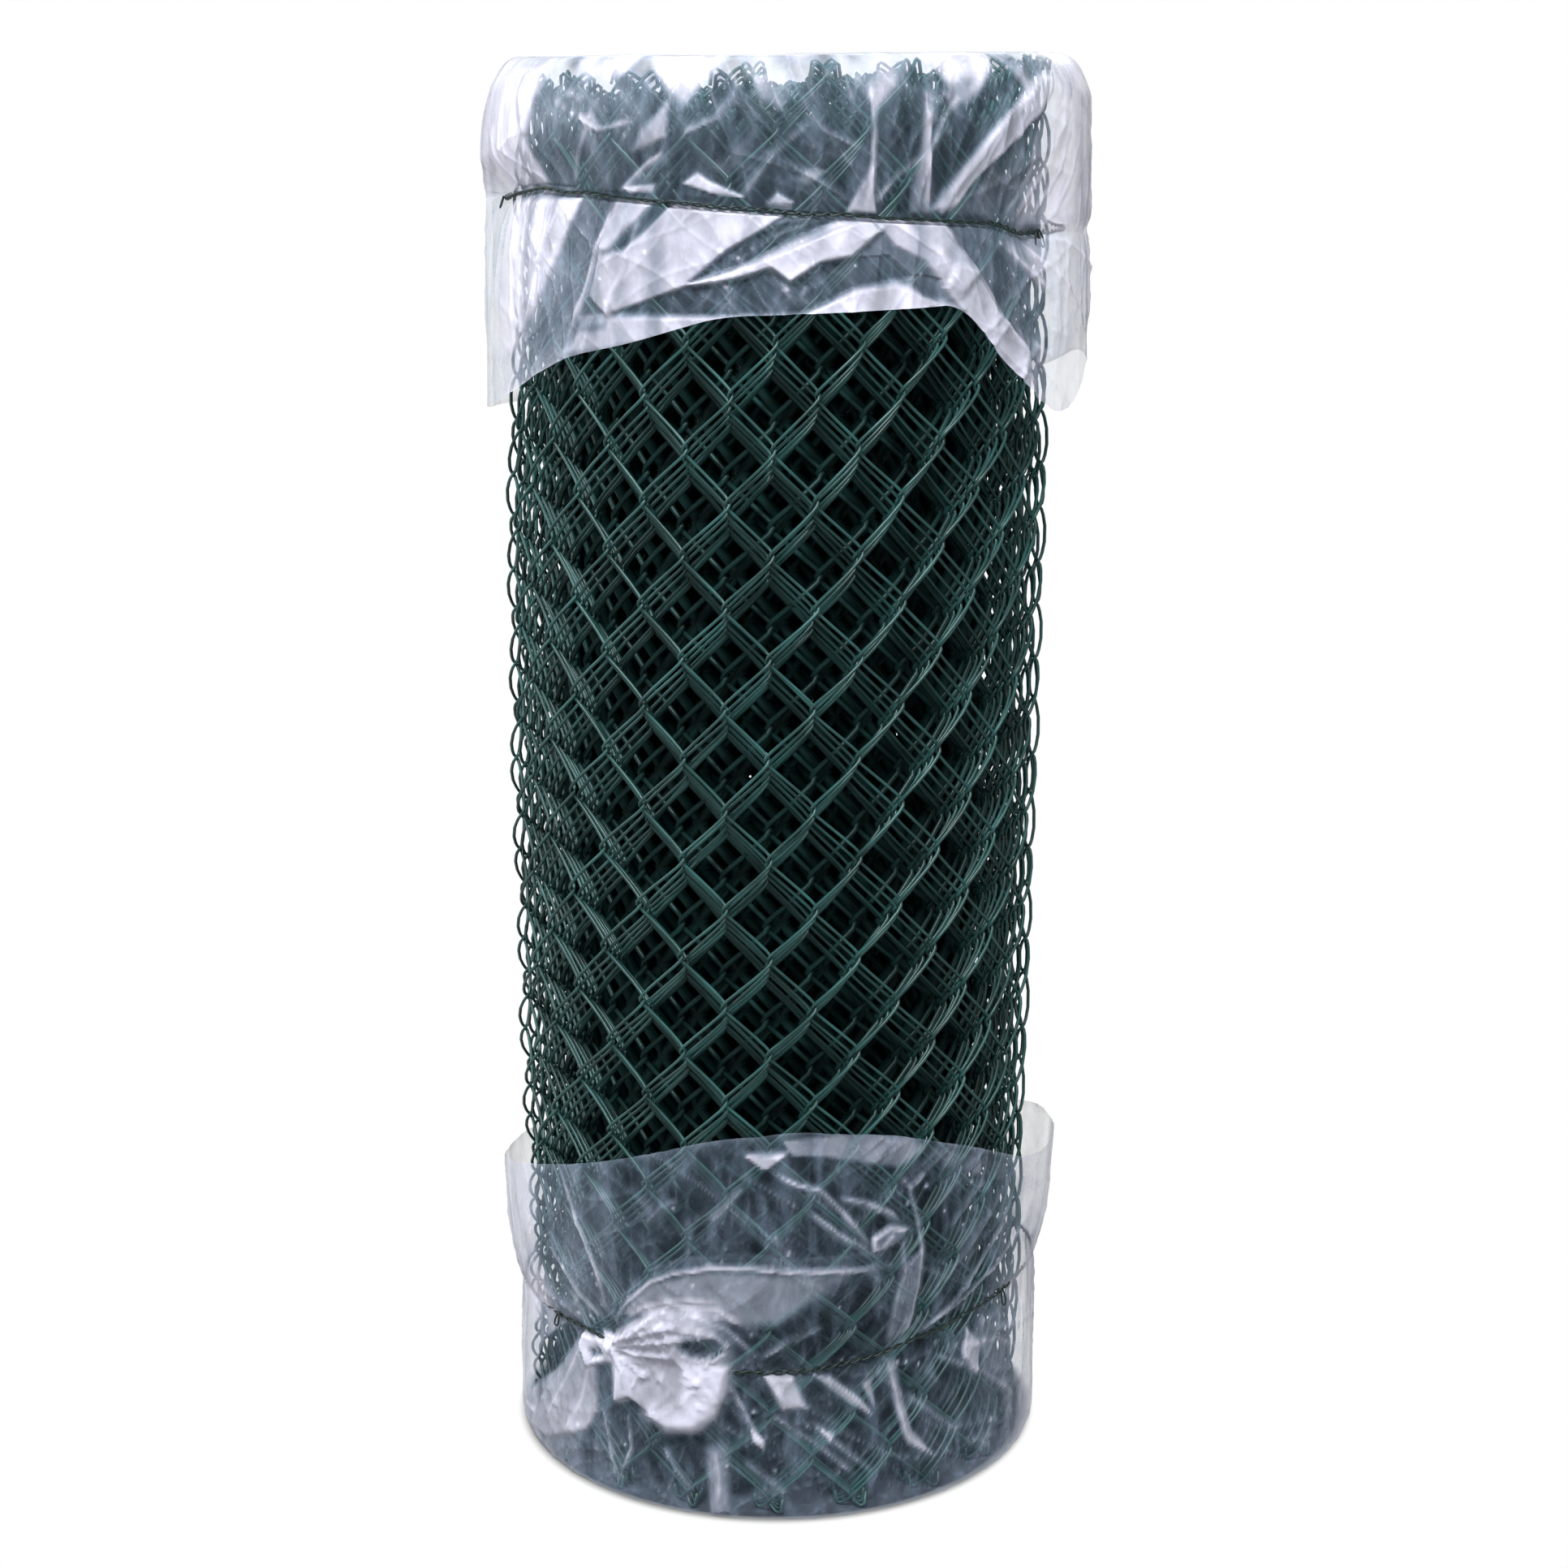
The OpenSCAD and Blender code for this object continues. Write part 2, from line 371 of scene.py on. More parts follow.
def film_look(name):
    """Thin clear film: see-through, with a pale haze that is thicker in folds and creases, and that also
    holds painted highlights on creases and specks.
    """
    mat, nodes, bsdf = material(name)
    co = nodes.add("TexCoord", "Object")
    haze = nodes.stored("haze")
    tint = nodes.ramp(haze, (0.08, (0.50, 0.67, 0.92)), (0.55, (0.78, 0.79, 0.95)))
    cloud = nodes.add("TexNoise", "Fac", Vector=co, Scale=34, Detail=7, Roughness=0.62)
    vary = nodes.add("MapRange", "Result", cloud, From_Min=0.3, From_Max=0.7, To_Min=0.76, To_Max=1.24)
    thick = nodes.add("Math", "Value", haze, vary, operation="MULTIPLY")
    # Short upright streaks, where the film is drawn tight
    tall = nodes.add("Mapping", "Vector", Vector=co, Scale=(1.0, 1.0, 0.3))
    streak = nodes.add("TexNoise", "Fac", Vector=tall, Scale=75, Detail=4)
    bloom = nodes.add("MapRange", "Result", streak, From_Min=0.50, From_Max=0.72, To_Max=0.12)
    total = nodes.add("Math", "Value", thick, bloom, operation="ADD")
    total.node.use_clamp = True
    rough = nodes.add("MapRange", "Result", cloud, To_Min=0.20, To_Max=0.42)
    # Small flat facets, as in film that was crushed
    crush = nodes.add("TexVoronoi", "Distance", Vector=co, Scale=22)
    crush.node.feature = "DISTANCE_TO_EDGE"
    both = nodes.add("Math", "Value", crush, cloud, operation="ADD")
    bump = nodes.add("Bump", "Normal", Strength=0.2, Distance=0.002, Height=both)
    nodes.feed(bsdf, Base_Color=tint, Alpha=total, Roughness=rough, Normal=bump, IOR=1.5)
    return mat


wire_mat = coated("green_coated_wire", (0.0072, 0.0400, 0.0385), (0.026, 0.112, 0.107), True)
tie_mat = coated("tie_wire", (0.0035, 0.0120, 0.0110), (0.010, 0.030, 0.026))
film_mat = film_look("clear_film")

# Places of a wire's points between one bend and the next, from rounder bends to plain ones
FINE = (0.0, 0.07, 0.17, 0.36, 0.64, 0.83, 0.93)
ROUND = (0.0, 0.09, 0.25, 0.5, 0.75, 0.91)
MEDIUM = (0.0, 0.12, 0.5, 0.88)
PLAIN = (0.0,)
# Groups of turns: name, first and last wire, places of the points, sides of a wire, and added radius.
# The outer turns are seen close, so they are rounder. The inner turns are packed more tightly than
# they are drawn, so their wires are drawn thicker below the top end.
groups = [
    ("fence_mesh_outer_turns", 0, 72, FINE, 6, 0.0),
    ("fence_mesh_second_turns", 72, 150, ROUND, 6, 0.0),
    ("fence_mesh_third_turns", 150, 240, MEDIUM, 5, 0.0010),
    ("fence_mesh_inner_turns", 240, WIRES, PLAIN, 4, 0.0052),
]
for name, first, last, shares, sides, more in groups:
    paths, out, painted_shade, v = zigzag(first, last, shares)
    middle = ease((FABRIC_H - LIGHT_END - v) / 0.03) * ease((v - 0.004) / 0.03)
    wires = tubes(paths, out, WIRE_R + more * middle, sides)
    # The painted shade of each point goes with the mesh, to darken the colour of the inner turns
    ob = new_mesh(name, *wires, wire_mat, {"painted_shade": np.repeat(painted_shade, sides)})
    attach(ob, "root")
    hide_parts("fence_roll")


# Film bags: a sheet drawn as rows round the roll, with panels and folds laid on it one by one
FILM_R = 0.246
# Columns of points round the sheet: close at the front, and wider apart at the back
angles = np.radians(np.concatenate([
    np.linspace(-100, 100, 560, endpoint=False), np.linspace(100, 260, 140, endpoint=False)]))
COLUMNS = len(angles)
# Rows of the bag's closed end
END_ROWS = 8
# Least and most haze of the film
HAZE = (0.015, 0.96)
# How far the film stays off the wires
FILM_OFF = 0.0012
# Spacing of the loose pleats in degrees, and number of directions of the fine creases
PLEAT_GAP = 8
CREASE_WAYS = 9
# Streaks of haze: fewest and most round the roll, and how far they slant
STREAKS = (14, 60)
STREAK_SLANT = 30
# How strongly a sharp bend turns pale
PALE_BEND = 0.05


def around(points):
    """A value that changes round the roll, smoothly through (degrees, value) points."""
    d, y = np.array(points, float).T
    d3 = np.concatenate([d - 360, d, d + 360])
    y3 = np.concatenate([y, y, y])
    spread = np.degrees(angles) + np.linspace(-4, 4, 9)[:, None]
    return np.interp(spread, d3, y3).mean(axis=0)


class Film:
    """Angle, height and radius of every point of a bag, and how hazy the film is there.
    where is the share of each change that a point takes, so that it keeps a change to one stretch."""

    def __init__(self, rows):
        self.z, self.r, self.haze = (
            np.stack([np.broadcast_to(row[i], COLUMNS) for row in rows]) for i in range(3))
        self.a = np.repeat(angles[None, :], len(rows), axis=0)
        self.where = np.ones(self.z.shape)

    def local(self, pts):
        """The film's points and the given points on a flat unrolled sheet, in metres."""
        mid = math.radians(sum(p[0] for p in pts) / len(pts))
        x = FILM_R * ((self.a - mid + np.pi) % (2 * np.pi) - np.pi)
        return x, self.z, [(FILM_R * (math.radians(d) - mid), z / 1000) for d, z in pts]

    def panels(self, *shapes):
        for shape in shapes:
            self.panel(*shape)

    def lines(self, *shapes):
        for shape in shapes:
            self.line(*shape)

    def panel(self, haze, soft, lift, *pts):
        """A flat piece of film inside the outline pts, in degrees and millimetres, with its own haze.
        soft is the width of its edge and lift is how far it stands out, in millimetres."""
        x, y, p = self.local(pts)
        inside = np.zeros(x.shape, bool)
        far = np.full(x.shape, 9.0)
        for (ax, ay), (bx, by) in zip(p, p[1:] + p[:1]):
            ln2 = max((bx - ax) ** 2 + (by - ay) ** 2, 1e-12)
            t = np.clip(((x - ax) * (bx - ax) + (y - ay) * (by - ay)) / ln2, 0, 1)
            far = np.minimum(far, np.hypot(x - ax - t * (bx - ax), y - ay - t * (by - ay)))
            if ay != by:
                cut = (ay > y) != (by > y)
                inside ^= cut & (x < (bx - ax) * (y - ay) / (by - ay) + ax)
        # One side of the panel is sharper and paler than the other
        aim = draws(int(abs(pts[0][0] * 31) + pts[0][1])).uniform(0, 2 * np.pi)
        way = [px * math.cos(aim) + py * math.sin(aim) for px, py in p]
        across = x * math.cos(aim) + y * math.sin(aim)
        across = np.clip((across - min(way)) / (max(way) - min(way)), 0, 1)
        edge = soft / 500 * (0.45 + 1.1 * across)
        mask = ease(0.5 + np.where(inside, far, -far) / edge) * self.where
        self.haze += (haze * (1.18 - 0.36 * across) - self.haze) * mask
        self.r += lift / 1000 * mask

    def fold(self, pts, h, left, right, gl, gr, start=0.2, end=0.0, narrow=0.35, sharp=1.5, uneven=None):
        """A fold along pts, with its crest h mm out. left and right are its widths in mm at its far end, and
        gl and gr are the haze it adds on each side. It fades in and out over the shares start and end of
        its length, and begins at the share narrow of its width."""
        x, y, p = self.local(pts)
        lengths = [math.hypot(b[0] - a[0], b[1] - a[1]) for a, b in zip(p, p[1:])]
        best = np.full(x.shape, 9.0)
        side = np.zeros(x.shape)
        along = np.zeros(x.shape)
        done = 0.0
        for (ax, ay), (bx, by), ln in zip(p, p[1:], lengths):
            ux, uy = (bx - ax) / ln, (by - ay) / ln
            dx, dy = x - ax, y - ay
            t = np.clip(dx * ux + dy * uy, 0, ln)
            d = np.hypot(dx - t * ux, dy - t * uy)
            new = d < best
            best = np.where(new, d, best)
            side = np.where(new, ux * dy - uy * dx, side)
            along = np.where(new, (done + t) / sum(lengths), along)
            done += ln
        grow = narrow + (1 - narrow) * along
        width = np.where(side > 0, left, right) / 1000 * grow
        u = np.clip(best / np.maximum(width, 1e-5), 0, 1)
        env = self.where
        if start:
            env = env * ease(along / start)
        if end:
            env = env * ease((1 - along) / end)
        self.r += h / 1000 * env * (1 - u) ** sharp
        if uneven is not None:
            slow = np.sin(uneven[0] * along + uneven[1])
            env = env * (0.80 + 0.32 * slow * np.sin(uneven[2] * along + uneven[3]))
        # The added haze is partly the film doubled in the fold and partly a painted highlight along its
        # crest, where the fold would catch the light
        self.haze += np.where(side > 0, gl, gr) * env * (1 - u)

    def line(self, haze, wide, *pts):
        """A thin crease that shows as an uneven pale line, with a softer glow on one side: partly the film
        whitened in the crease, partly a painted highlight along it.
        """
        r = draws(int(abs(pts[0][0] * 17) + pts[0][1] * 3 + wide))
        thin, broad = wide * r.uniform(0.75, 1.0), wide * r.uniform(1.4, 2.2)
        near, off = (thin, broad) if r.random() < 0.5 else (broad, thin)
        self.fold(pts, wide * 0.4, near, off, haze, haze, start=0.15, end=0.2, narrow=0.7,
                  uneven=(r.uniform(4, 9), r.uniform(0, 6), r.uniform(9, 22), r.uniform(0, 6)))

    def pleats(self, seed, level, up, tall, high, wide, gain, front, calm):
        """Loose pleats all round, from the tie's heights level, up or down: tall, high and wide in mm.
        Between the angles front they are calmer."""
        r = draws(seed)
        for d in np.arange(-180, 180, PLEAT_GAP):
            d = d + r.uniform(-0.35, 0.35) * PLEAT_GAP
            z0 = np.interp((d + 100) % 360 - 100, np.degrees(angles), level) * 1000
            scale = calm if front[0] < d < front[1] else 0.3 if abs(d) < 125 else 1.0
            z1 = z0 + up * r.uniform(*tall)
            self.fold([(d, z0 - up * 2), (d + r.uniform(-6, 6), z1)], scale * r.uniform(*high),
                      r.uniform(*wide), r.uniform(*wide), scale * r.uniform(0, gain),
                      scale * r.uniform(0, gain), end=0.3)

    def crinkle(self, seed, size, height, haze):
        """Fine straight creases in many directions, here and there: their spacing and height in metres."""
        r = draws(seed)
        bend = 0.8 * waves(6, 2, 7, seed + 1)(np.cos(self.a), np.sin(self.a), self.z * 6)
        # They are weaker at the two sides, where the film is seen edge on
        side = np.abs(np.degrees((self.a + np.pi) % (2 * np.pi) - np.pi))
        calm = 1 - 0.6 * ease((side - 58) / 14) * ease((130 - side) / 14)
        for i in range(CREASE_WAYS):
            tilt = r.uniform(-1.2, 1.2)
            turns = max(1, round(math.cos(tilt) * 2 * np.pi * FILM_R / size))
            phase = turns / 2 * self.a + math.sin(tilt) * np.pi / size * self.z
            phase = phase + r.uniform(0, 6) + bend
            ridge = (1 - np.abs(np.sin(phase))) ** 6
            patch = waves(5, 3, 8, seed + 20 + i)(np.cos(self.a), np.sin(self.a), self.z * 6)
            patch = ease(0.35 + 0.9 * patch) * self.where * calm
            self.r += height * ridge * patch
            self.haze += haze * ridge * patch

    def streaks(self, seed, gain):
        """Uneven haze in long streaks that run up and down the film."""
        r = draws(seed)
        total = 0
        for i in range(8):
            phase = r.integers(*STREAKS) * self.a
            phase = phase + r.uniform(-STREAK_SLANT, STREAK_SLANT) * self.z
            total += np.sin(phase + r.uniform(0, 6.3))
        self.haze *= 1 + gain * np.clip(total / 2.8, -1.6, 1.6) * self.where

    def painted_glints(self, seed, count, low, high):
        """Painted highlights: small bright specks of haze where a crease would catch the light, at the front
        between two heights in mm.
        """
        r = draws(seed)
        places = r.uniform(-60, 60, count), r.uniform(low, high, count), r.uniform(0.9, 2.0, count)
        for d, z, size in zip(*places):
            x, y, p = self.local([(d, z)])
            near = np.exp(-(x ** 2 + (y - p[0][1]) ** 2) / (size / 1000) ** 2)
            self.haze += 0.6 * near * self.where

    def whiten(self):
        """Sharp bends turn the film pale."""
        bend = np.abs(np.roll(self.r, 1, axis=1) + np.roll(self.r, -1, axis=1) - 2 * self.r)
        bend[1:-1] += np.abs(self.r[2:] + self.r[:-2] - 2 * self.r[1:-1])
        self.haze += np.clip(bend * 1000 * PALE_BEND, 0, 0.25) * self.where

    def make(self, name):
        """The bag as one joined mesh."""
        x = self.r * np.sin(self.a) + film_shift(self.z)
        grid = np.stack([x, -self.r * np.cos(self.a), self.z], axis=-1)
        rows, cols = self.z.shape
        i = np.arange(rows * cols).reshape(rows, cols)
        j = np.roll(i, -1, axis=1)
        quads = np.stack([i[:-1], j[:-1], j[1:], i[1:]], axis=-1).reshape(-1, 4)
        haze = np.clip(self.haze, *HAZE)
        ob = new_mesh(name, grid.reshape(-1, 3), quads, film_mat, {"haze": haze})
        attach(ob, "root")
        return ob


def held(first, last, soft):
    """1 where the wire presses the film to the roll, falling to 0 past the two ends of the wire."""
    d = np.degrees(angles)
    return ease((d - first) / soft + 0.5) * ease((last - d) / soft + 0.5)


# Rings of the ties, and the heights and slopes at which they lie
TOP_RING = 0.2343
LOW_RING = 0.2335
TOP_TIE_Z = 1.1065
LOW_TIE_Z = 0.1385
TOP_TIE_SLOPE = 4
LOW_TIE_SLOPE = -3
# Droop of the top tie at its left and right ends, and sag of the bottom tie at the front
DROOP_LEFT = 0.0155
DROOP_RIGHT = 0.008
SAG = 0.018


def tie_level(theta, middle, slope):
    """Height of a flat ring that slopes down to the right by an angle in degrees."""
    return middle - math.tan(math.radians(slope)) * LOW_RING * np.sin(theta)


def top_tie_z(theta):
    """Height of the top tie: it slopes down to the right, and droops at its two ends."""
    d = (np.degrees(theta) + 180) % 360 - 180
    left = DROOP_LEFT * ease((-50 - d) / 34) * ease((d + 150) / 50)
    right = DROOP_RIGHT * ease((d - 42) / 13) * ease((150 - d) / 50)
    return tie_level(theta, TOP_TIE_Z, TOP_TIE_SLOPE) - (left + right)


def low_tie_z(theta):
    """Height of the bottom tie: it slopes up to the right, and sags in the middle of the front."""
    d = (np.degrees(theta) + 180) % 360 - 180
    rise = SAG * np.sin(np.radians(1.6 * d)) ** 2 * (np.abs(d) < 112.5)
    return tie_level(theta, LOW_TIE_Z, LOW_TIE_SLOPE) + rise


# Top bag: its end lies on the wire tips, it is drawn in by the tie, and its skirt hangs below
# How far the closed end lies above the wire tips, and how far it tilts
TIP_GAP = 0.0018
END_TILT = 0.0020
# Radius of the film under the tie, and the most that its folds may reach there
TOP_WAIST_R = 0.2316
TOP_WAIST_MOST = 0.2318
top_z = FOOT + FABRIC_H + TIP_GAP + END_TILT * np.sin(angles)
tie_z = top_tie_z(angles)
hem = around(
    [(-150, 925), (-120, 922), (-92, 928), (-67, 948), (-51, 979), (-44, 991), (-30, 1004), (-12, 1027),
     (6, 1030), (35, 1034), (40, 1003), (48, 973), (57, 949), (64, 936), (73, 948), (84, 972), (100, 976),
     (125, 940), (150, 922)]) / 1000
press = np.maximum(held(-84, 61, 14), held(114, 246, 14))
puff = around([(-90, 252.5), (-45, 247), (0, 241), (45, 248), (90, 253.5), (180, 251)]) / 1000
drop = around([(-90, 84), (-40, 46), (0, 34), (60, 34), (90, 42), (180, 50)]) / 1000
skirt = around(
    [(-90, 253), (-60, 247), (-20, 241), (20, 242), (50, 249), (75, 256), (95, 259), (140, 254),
     (180, 252)]) / 1000
clear = around(
    [(-90, 0.15), (-62, 0.26), (-50, 0.14), (-40, 0.075), (46, 0.05), (56, 0.22), (70, 0.26), (90, 0.26),
     (130, 0.10), (180, 0.08)])
tie_r = TOP_WAIST_R * press + (1 - press) * (puff + 0.0005)
edge_r = TOP_R - 0.004
rows = [(top_z, edge_r * q, 0.07) for q in np.linspace(0.001, 1.0, END_ROWS)]
for q in np.linspace(0.0, 1.0, 15)[1:]:
    a = q * np.pi / 2
    z = top_z - drop * (1 - math.cos(a))
    rows.append((z, edge_r + (puff - edge_r) * math.sin(a), clear))
for q in np.linspace(0.0, 1.0, 43)[1:]:
    z = top_z - drop + (tie_z - (top_z - drop)) * q
    rows.append((z, puff + (tie_r - puff) * ease(q) ** 1.3, clear))
above = len(rows)
for q in np.linspace(0.0, 1.0, 76)[1:]:
    z = tie_z + (hem - tie_z) * q
    rows.append((z, tie_r + (skirt - tie_r) * (1 - np.exp(-(tie_z - z) / 0.035)), clear + 0.09))
top = Film(rows)
index = np.arange(len(rows))[:, None] * np.ones(COLUMNS)
near_tie = ease(np.abs(top.z - tie_z) / 0.02)

# Above the tie. The film is palest between the wire tips, which lie two wires apart, one at TIP_ANGLE
WIRE_ANGLE = 8.85
TIP_ANGLE = 7.6
top.where = (index >= END_ROWS) * (index < above) * 1.0
off_tip = (np.degrees(top.a) - TIP_ANGLE + WIRE_ANGLE) % (2 * WIRE_ANGLE) - WIRE_ANGLE
off_tip = np.abs(off_tip) / WIRE_ANGLE
wires_end = FOOT + FABRIC_H - 0.041 * off_tip
patchy = waves(6, 1, 4, 71)(top.a * 4, top.z * 30)
notch = ease((top.z - wires_end) / 0.014 + 0.2) * (0.36 + 0.3 * patchy)
top.haze += top.where * np.clip(notch, 0, 0.75)
top.panels(
    (0.15, 8, 0, (-54, 1194), (-36, 1207), (-24, 1201), (-26, 1170), (-34, 1123), (-55, 1123)),
    (0.34, 22, 0, (-120, 1118), (-120, 1186), (-92, 1198), (-92, 1118)),
    (0.66, 7, 2, (-100, 1120), (-100, 1190), (-75, 1206), (-53, 1214), (-55, 1160), (-54, 1123),
     (-77, 1113)),
    (0.34, 1.5, 1, (-40.5, 1177), (-37, 1179), (-35, 1168), (-38.5, 1166)),
    (0.4, 3, 2, (-21, 1190), (-27, 1164), (-29, 1151), (-26.5, 1153), (-22, 1162)),
    (0.2, 5, 0, (-13.5, 1140), (-10.5, 1152), (-6, 1164), (-10.5, 1133)),
    (0.26, 3, 0, (1, 1131), (5.5, 1140), (7.5, 1137), (4, 1127)),
    (0.62, 1.5, 2, (-19.5, 1127), (-16.5, 1135), (-14.5, 1129), (-7.5, 1117), (-13, 1119)),
    (0.45, 2, 2, (-3.5, 1112), (-1.5, 1120), (1.5, 1114), (1, 1108)),
    (0.52, 1.5, 1, (-32.5, 1123), (-25.5, 1126), (-26, 1120), (-31.5, 1119)),
    (0.34, 4, 0, (-6, 1207), (-1.5, 1211), (1.5, 1204), (-1.5, 1187), (-4.5, 1190)),
    (0.34, 4, 0, (29, 1194), (33, 1207), (36, 1204), (31.5, 1182)),
    (0.46, 2, 2, (16, 1139), (17.5, 1105), (11.5, 1105)),
    (0.34, 2.5, 2, (25.5, 1198), (27.5, 1151), (29, 1103), (24, 1103), (25.5, 1148)),
    (0.02, 2, 0, (18, 1110), (24, 1130), (24, 1105), (19.5, 1105)),
    (0.19, 5, 0, (35, 1104), (41, 1135), (48.5, 1159), (55, 1181), (55.5, 1136), (51.5, 1092)),
    (0.6, 3, 3, (29.5, 1107), (33.5, 1104), (39.5, 1135), (47.5, 1162), (56, 1190), (58, 1209),
     (52.5, 1205), (43, 1178), (35, 1138)),
    (0.54, 10, 2, (57, 1210), (72, 1200), (100, 1190), (100, 1085), (53, 1088), (55, 1136)),
)
top.lines(
    (0.34, 3, (-47.5, 1189), (-39.5, 1174), (-36, 1166), (-27, 1175)),
    (0.32, 3, (-38, 1169), (-42, 1147), (-45.5, 1122)),
    (0.48, 3, (-22, 1153), (-28, 1137), (-34, 1118)),
    (0.2, 4, (-19, 1164), (-12, 1176), (-8, 1196)),
    (0.16, 4, (-9, 1112), (-2, 1150), (6, 1178)),
    (0.48, 3, (15, 1207), (16, 1167), (16, 1124), (15, 1105)),
    (0.32, 3, (26.5, 1201), (27, 1151), (28.5, 1104)),
    (0.28, 3, (33.5, 1194), (30, 1182), (27, 1151)),
    (0.3, 3, (17, 1111), (21.5, 1133), (26.5, 1149)),
    (0.3, 3, (33, 1104), (39, 1135), (47, 1162), (56, 1190)),
)
for far in (-4, 0, 4.5, 9):
    top.line(0.24, 3, (51.5 + far, 1092), (57.5 + far, 1132), (58.5 + 1.5 * far, 1174))
top.line(0.16, 5, (-66, 1116), (-70, 1150), (-72, 1170))
top.haze += top.where * 0.22 * (1 - press) * np.exp(-np.abs(top.z - tie_z) / 0.02)
top.streaks(61, 0.22)
top.pleats(12, tie_z, 1, (40, 95), (2, 6), (5, 13), 0.14, (-62, 52), 0.3)
top.crinkle(31, 0.062, 0.0016, 0.04)
top.crinkle(32, 0.034, 0.0007, 0.018)

# Below the tie, down to the hem
top.where = (index >= above) * 1.0
top.haze += top.where * 0.16 * np.exp(-(top.z - hem) / 0.003)
top.panels(
    (0.2, 8, 0, (-100, 1116), (-73, 1108), (-58, 1103), (-59, 1014), (-66, 951), (-100, 925)),
    (0.62, 4, 2, (-70, 1108), (-43, 1114), (-45, 1090), (-49, 1057), (-54, 1026), (-62, 990), (-70, 975)),
    (0.15, 4, -1, (-42.5, 1112), (-35, 1115), (-38.5, 1078), (-42, 1045), (-46, 1012), (-57, 975),
     (-56.5, 1002), (-49, 1037), (-44.5, 1083)),
    (0.55, 2, 3, (-34, 1116), (-22, 1114), (-13.5, 1109), (-0.5, 1103), (-10.5, 1078), (-19, 1049),
     (-34.5, 1024), (-39, 1039), (-36.5, 1078)),
    (0.08, 2.5, -2, (-25.5, 1114), (-21.5, 1113), (-27, 1090), (-31.5, 1075), (-35.5, 1072)),
    (0.05, 2, -3, (9.5, 1101), (-0.5, 1097), (-10.5, 1078), (-18, 1053), (-6, 1068), (1.5, 1086),
     (9.5, 1096)),
    (0.7, 2, 5, (-19, 1050), (-9.5, 1061), (1.5, 1080), (9.5, 1094), (16, 1103), (18, 1091), (12.5, 1073),
     (6.5, 1068), (1, 1054), (-2.5, 1065), (-10.5, 1054)),
    (0.07, 2, -2, (-33.5, 1027), (-19, 1048), (-3, 1062), (1, 1054), (6.5, 1068), (13, 1072), (20, 1073),
     (24.5, 1056), (13, 1049), (3.5, 1030), (-10.5, 1027), (-23, 1026)),
    (0.52, 3, 2, (-46.5, 990), (-39, 1020), (-33.5, 1024), (-23, 1026), (-10.5, 1027), (1.5, 1025),
     (-13.5, 1020), (-33.5, 1000)),
    (0.28, 2, 0, (-41.5, 1023), (-34, 1028), (-35, 1014), (-41, 1010)),
    (0.72, 3, 3, (4, 1029), (13, 1047), (21, 1052), (26, 1043), (29.5, 1036), (34.5, 1030), (17, 1028)),
    (0.48, 3, 3, (16, 1103), (31, 1099), (34, 1082), (39, 1059), (34, 1040), (30, 1051), (27, 1067),
     (21, 1080)),
    (0.12, 2, -2, (27, 1057), (30, 1054), (29.5, 1038), (26, 1042), (24.5, 1058)),
    (0.64, 2.5, 4, (30.5, 1047), (33.5, 1066), (38.5, 1059), (43.5, 1025), (51, 997), (54, 955),
     (47.5, 966), (39.5, 1000), (34.5, 1028)),
    (0.33, 9, 0, (48, 1078), (78.5, 1062), (100, 1050), (100, 960), (65.5, 938), (53, 960), (54, 1019)),
    (0.13, 5, -3, (35, 1085), (43.5, 1074), (55, 1049), (61, 1029), (60, 988), (53.5, 1000), (45.5, 1025),
     (39.5, 1055)),
)
top.lines(
    (0.52, 3, (-34.5, 1114), (-37.5, 1078), (-40.5, 1042), (-45.5, 996)),
    (0.14, 4, (-48, 1112), (-54, 1050), (-60, 980)),
    (0.14, 4, (-28, 1108), (-31, 1060), (-36, 1012)),
    (0.4, 3, (-19, 1050), (-9.5, 1061), (1, 1081), (9.5, 1096), (16, 1103)),
    (0.12, 3, (4, 1052), (3, 1040), (5, 1034)),
    (0.5, 3, (17, 1103), (31, 1099), (35, 1078)),
    (0.22, 4, (19, 1102), (30, 1072), (35, 1040)),
    (0.28, 3, (35, 1078), (40.5, 1049), (45, 1019), (51.5, 985)),
    (0.3, 4, (46.5, 1076), (54, 1055), (60, 1036)),
    (0.18, 5, (50, 1086), (66, 1040), (80, 990)),
    (0.16, 5, (60, 1084), (76, 1060), (92, 1045)),
)
top.streaks(62, 0.18)
top.pleats(13, tie_z, -1, (60, 165), (3, 9), (6, 16), 0.16, (-70, 66), 0.25)
# Painted highlights: small bright specks on the film
top.painted_glints(81, 26, 1030, 1195)
top.crinkle(33, 0.060, 0.0016, 0.04)
top.crinkle(34, 0.034, 0.0007, 0.025)

# Sharp bends turn pale, except at the tie, and the closed end is a little creased
top.where = (index >= END_ROWS) * near_tie
top.whiten()
disc = (index < END_ROWS) * 1.0
top.where = disc * 0.5
top.crinkle(35, 0.20, 0.0, 0.10)
ripple = waves(8, 4, 14, 77)(top.r / 0.1 * np.cos(top.a), top.r / 0.1 * np.sin(top.a))
top.z += disc * 0.0007 * ripple
# The film never cuts into the roll or the tie
least = roll_r(np.clip(top.z - FOOT, 0, FABRIC_H)) + FILM_OFF
top.r = np.where(index < END_ROWS, np.minimum(top.r, edge_r), top.r)
top.r = np.where(index >= END_ROWS + 2, np.maximum(top.r, least), top.r)
under = (np.abs(top.z - tie_z) < 0.004) * press
top.r += under * (np.minimum(top.r, TOP_WAIST_MOST) - top.r)
top_bag = top.make("top_film_bag")
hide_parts("top_bag")

